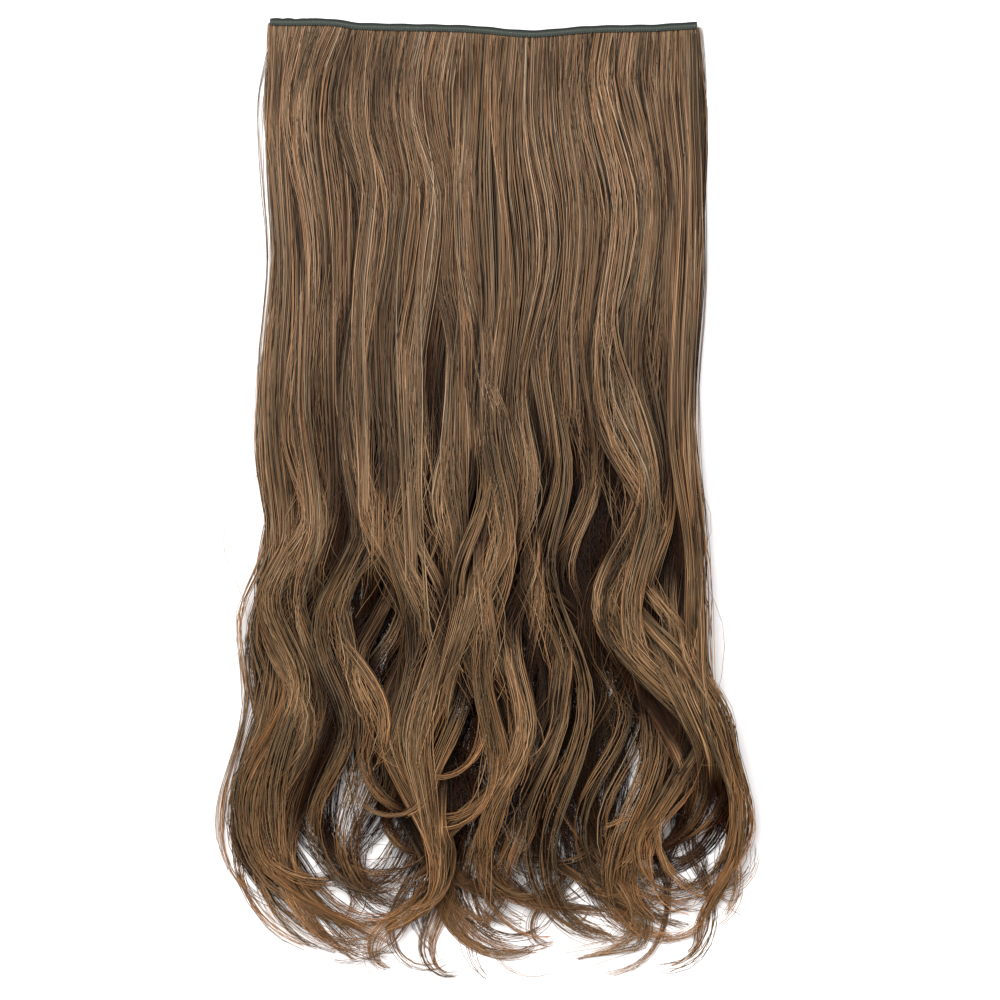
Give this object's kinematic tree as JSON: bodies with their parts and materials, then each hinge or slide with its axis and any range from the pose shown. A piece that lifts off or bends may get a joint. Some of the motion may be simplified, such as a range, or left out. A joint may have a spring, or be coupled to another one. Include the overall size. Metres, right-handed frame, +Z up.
{
  "type": "hair extension",
  "caption": "Wide clip-in hair extension: a folded cloth tape holding long brown hair that runs straight from the roots and ends in loose waves and curls.",
  "frame": {"origin": "middle of the centre clip's flat underside, on the surface the piece lies on, under the tape", "axes": "+X along the tape, to the right as the picture shows it; +Y from the hair tips towards the tape; +Z up from the surface, the side the picture shows"},
  "size_m": [0.3426, 0.6198, 0.0424],
  "materials": {
    "tape": "matte woven tape, dark grey-green",
    "clip": "satin dark paint",
    "hair_back": "fine brown fibres with a soft sheen, shaded",
    "hair_front": "fine golden brown fibres with a soft sheen"
  },
  "bodies": {
    "root": {"weft_band": "tape", "snap_clip_1": "clip", "snap_clip_2": "clip", "snap_clip_3": "clip", "snap_clip_4": "clip", "snap_clip_5": "clip", "lock_b01": "hair_back", "lock_b02": "hair_back", "lock_b03": "hair_back", "lock_b04": "hair_back", "lock_b05": "hair_back", "lock_b06": "hair_back", "lock_b07": "hair_back", "lock_b08": "hair_back", "lock_b09": "hair_back", "lock_b10": "hair_back", "lock_b11": "hair_back", "lock_b12": "hair_back", "lock_f01": "hair_front", "lock_f02": "hair_front", "lock_f03": "hair_front", "lock_f04": "hair_front", "lock_f05": "hair_front", "lock_f06": "hair_front", "lock_f07": "hair_front", "lock_f08": "hair_front", "lock_f09": "hair_front", "lock_f10": "hair_front", "lock_f11": "hair_front", "lock_f12": "hair_front", "lock_f13": "hair_front", "lock_f14": "hair_front", "lock_f15": "hair_front", "lock_f16": "hair_front"}
  },
  "joints": []
}
